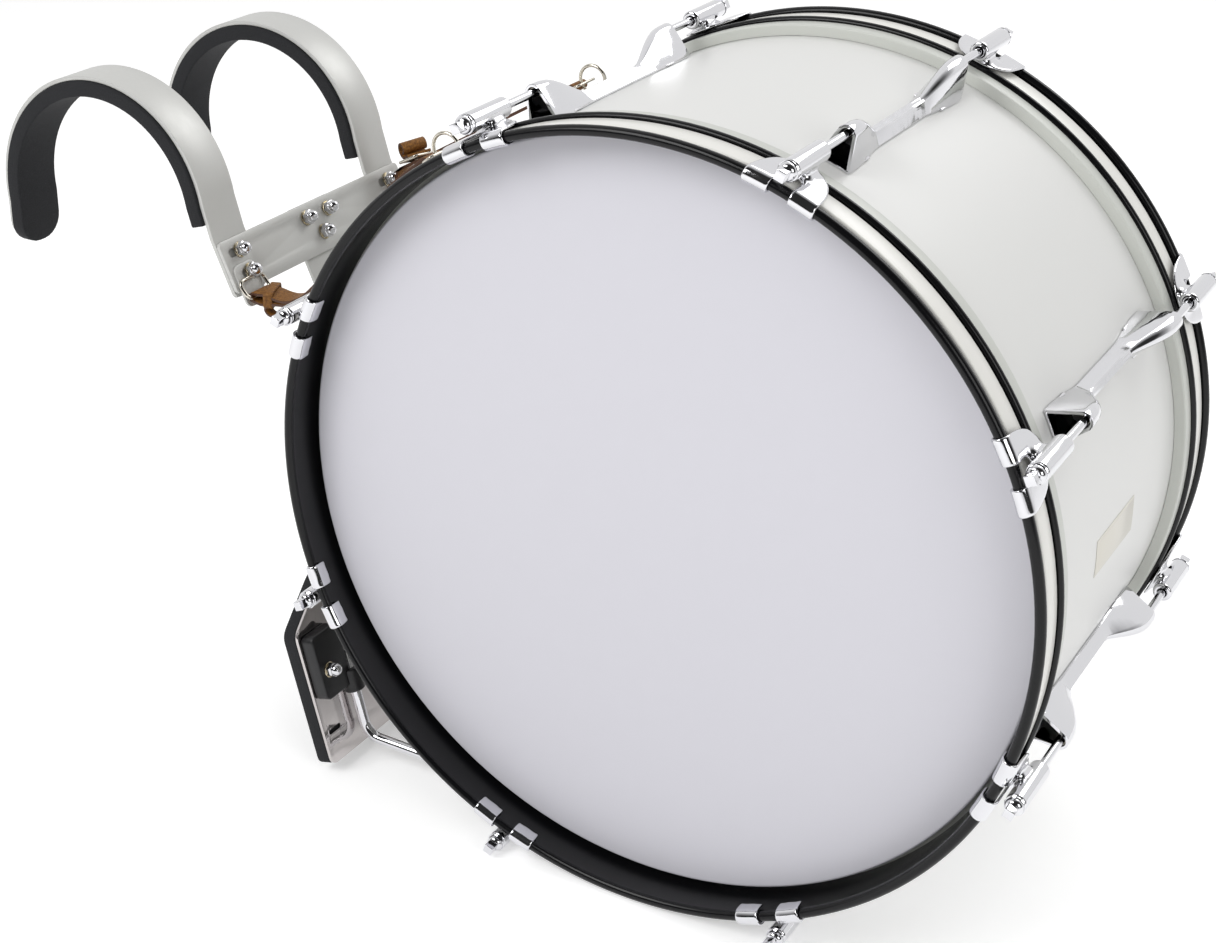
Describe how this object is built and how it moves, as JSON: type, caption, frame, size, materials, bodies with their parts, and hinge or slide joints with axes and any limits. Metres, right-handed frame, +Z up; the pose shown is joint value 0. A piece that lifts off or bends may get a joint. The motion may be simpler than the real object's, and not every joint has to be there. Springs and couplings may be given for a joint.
{
  "type": "marching bass drum with shoulder carrier",
  "caption": "Marching bass drum, head facing sideways, on a shoulder carrier with padded hooks, a belly plate and sliding drum supports.",
  "frame": {"origin": "middle of the base: centre of the bounding box in X and Y, floor level in Z", "axes": "+Y along the drum's axis away from the pictured head, +X from the player to the drum, +Z up"},
  "size_m": [0.908, 0.382, 0.5821],
  "materials": {
    "shell_wrap": "gloss off-white wrap over a wooden shell",
    "head_film": "smooth white film",
    "hoop_lacquer": "gloss black lacquer",
    "chrome": "bright plated",
    "bar_alloy": "fine satin",
    "polished_plate": "mirror polished",
    "foam": "black closed-cell foam, matt",
    "block_plastic": "black, slightly glossy",
    "leather": "waxed brown"
  },
  "bodies": {
    "drum_and_carrier": {"shell": "shell_wrap", "head_front": "head_film", "head_rear": "head_film", "hoop_front": "hoop_lacquer", "hoop_rear": "hoop_lacquer", "lug_0": "chrome", "lug_1": "chrome", "lug_2": "chrome", "lug_3": "chrome", "lug_4": "chrome", "lug_5": "chrome", "lug_6": "chrome", "lug_7": "chrome", "claw_front_0": "chrome", "claw_front_1": "chrome", "claw_front_2": "chrome", "claw_front_3": "chrome", "claw_front_4": "chrome", "claw_front_5": "chrome", "claw_front_6": "chrome", "claw_front_7": "chrome", "claw_rear_0": "chrome", "claw_rear_1": "chrome", "claw_rear_2": "chrome", "claw_rear_3": "chrome", "claw_rear_4": "chrome", "claw_rear_5": "chrome", "claw_rear_6": "chrome", "claw_rear_7": "chrome", "crossbar": "bar_alloy", "spine": "bar_alloy", "belly_plate": "polished_plate", "belly_pad": "foam", "clamp_front": "block_plastic", "clamp_rear": "block_plastic", "strap_front": "leather", "strap_rear": "leather"},
    "key_rod_front_0": {"key_rod_front_0": "chrome"},
    "key_rod_front_1": {"key_rod_front_1": "chrome"},
    "key_rod_front_2": {"key_rod_front_2": "chrome"},
    "key_rod_front_3": {"key_rod_front_3": "chrome"},
    "key_rod_front_4": {"key_rod_front_4": "chrome"},
    "key_rod_front_5": {"key_rod_front_5": "chrome"},
    "key_rod_front_6": {"key_rod_front_6": "chrome"},
    "key_rod_front_7": {"key_rod_front_7": "chrome"},
    "key_rod_rear_0": {"key_rod_rear_0": "chrome"},
    "key_rod_rear_1": {"key_rod_rear_1": "chrome"},
    "key_rod_rear_2": {"key_rod_rear_2": "chrome"},
    "key_rod_rear_3": {"key_rod_rear_3": "chrome"},
    "key_rod_rear_4": {"key_rod_rear_4": "chrome"},
    "key_rod_rear_5": {"key_rod_rear_5": "chrome"},
    "key_rod_rear_6": {"key_rod_rear_6": "chrome"},
    "key_rod_rear_7": {"key_rod_rear_7": "chrome"},
    "shoulder_front": {"shoulder_bar_front": "bar_alloy", "shoulder_pad_front": "foam"},
    "drum_support_front": {"support_front": "chrome"},
    "shoulder_rear": {"shoulder_bar_rear": "bar_alloy", "shoulder_pad_rear": "foam"},
    "drum_support_rear": {"support_rear": "chrome"}
  },
  "joints": [
    {"name": "key_rod_front_0_turn", "type": "hinge", "parent": "drum_and_carrier", "child": "key_rod_front_0", "pos_m": [0.2678, -0.15, 0.57478], "axis": [0, -1, 0], "continuous": true},
    {"name": "key_rod_front_1_turn", "type": "hinge", "parent": "drum_and_carrier", "child": "key_rod_front_1", "pos_m": [0.03645, -0.15, 0.56581], "axis": [0, -1, 0], "continuous": true},
    {"name": "key_rod_front_2_turn", "type": "hinge", "parent": "drum_and_carrier", "child": "key_rod_front_2", "pos_m": [-0.12079, -0.15, 0.39587], "axis": [0, -1, 0], "continuous": true},
    {"name": "key_rod_front_3_turn", "type": "hinge", "parent": "drum_and_carrier", "child": "key_rod_front_3", "pos_m": [-0.11182, -0.15, 0.16453], "axis": [0, -1, 0], "continuous": true},
    {"name": "key_rod_front_4_turn", "type": "hinge", "parent": "drum_and_carrier", "child": "key_rod_front_4", "pos_m": [0.05811, -0.15, 0.00728], "axis": [0, -1, 0], "continuous": true},
    {"name": "key_rod_front_5_turn", "type": "hinge", "parent": "drum_and_carrier", "child": "key_rod_front_5", "pos_m": [0.28946, -0.15, 0.01625], "axis": [0, -1, 0], "continuous": true},
    {"name": "key_rod_front_6_turn", "type": "hinge", "parent": "drum_and_carrier", "child": "key_rod_front_6", "pos_m": [0.44671, -0.15, 0.18619], "axis": [0, -1, 0], "continuous": true},
    {"name": "key_rod_front_7_turn", "type": "hinge", "parent": "drum_and_carrier", "child": "key_rod_front_7", "pos_m": [0.43773, -0.15, 0.41754], "axis": [0, -1, 0], "continuous": true},
    {"name": "key_rod_rear_0_turn", "type": "hinge", "parent": "drum_and_carrier", "child": "key_rod_rear_0", "pos_m": [0.2678, 0.15, 0.57478], "axis": [0, 1, 0], "continuous": true},
    {"name": "key_rod_rear_1_turn", "type": "hinge", "parent": "drum_and_carrier", "child": "key_rod_rear_1", "pos_m": [0.03645, 0.15, 0.56581], "axis": [0, 1, 0], "continuous": true},
    {"name": "key_rod_rear_2_turn", "type": "hinge", "parent": "drum_and_carrier", "child": "key_rod_rear_2", "pos_m": [-0.12079, 0.15, 0.39587], "axis": [0, 1, 0], "continuous": true},
    {"name": "key_rod_rear_3_turn", "type": "hinge", "parent": "drum_and_carrier", "child": "key_rod_rear_3", "pos_m": [-0.11182, 0.15, 0.16453], "axis": [0, 1, 0], "continuous": true},
    {"name": "key_rod_rear_4_turn", "type": "hinge", "parent": "drum_and_carrier", "child": "key_rod_rear_4", "pos_m": [0.05811, 0.15, 0.00728], "axis": [0, 1, 0], "continuous": true},
    {"name": "key_rod_rear_5_turn", "type": "hinge", "parent": "drum_and_carrier", "child": "key_rod_rear_5", "pos_m": [0.28946, 0.15, 0.01625], "axis": [0, 1, 0], "continuous": true},
    {"name": "key_rod_rear_6_turn", "type": "hinge", "parent": "drum_and_carrier", "child": "key_rod_rear_6", "pos_m": [0.44671, 0.15, 0.18619], "axis": [0, 1, 0], "continuous": true},
    {"name": "key_rod_rear_7_turn", "type": "hinge", "parent": "drum_and_carrier", "child": "key_rod_rear_7", "pos_m": [0.43773, 0.15, 0.41754], "axis": [0, 1, 0], "continuous": true},
    {"name": "shoulder_front_width", "type": "slide", "parent": "drum_and_carrier", "child": "shoulder_front", "axis": [0, -1, 0], "range_m": [-0.008, 0.008]},
    {"name": "support_front_height", "type": "slide", "parent": "drum_and_carrier", "child": "drum_support_front", "axis": [0.2756, 0, -0.9613], "range_m": [0, 0.03]},
    {"name": "shoulder_rear_width", "type": "slide", "parent": "drum_and_carrier", "child": "shoulder_rear", "axis": [0, 1, 0], "range_m": [-0.008, 0.008]},
    {"name": "support_rear_height", "type": "slide", "parent": "drum_and_carrier", "child": "drum_support_rear", "axis": [0.2756, 0, -0.9613], "range_m": [0, 0.03]}
  ]
}
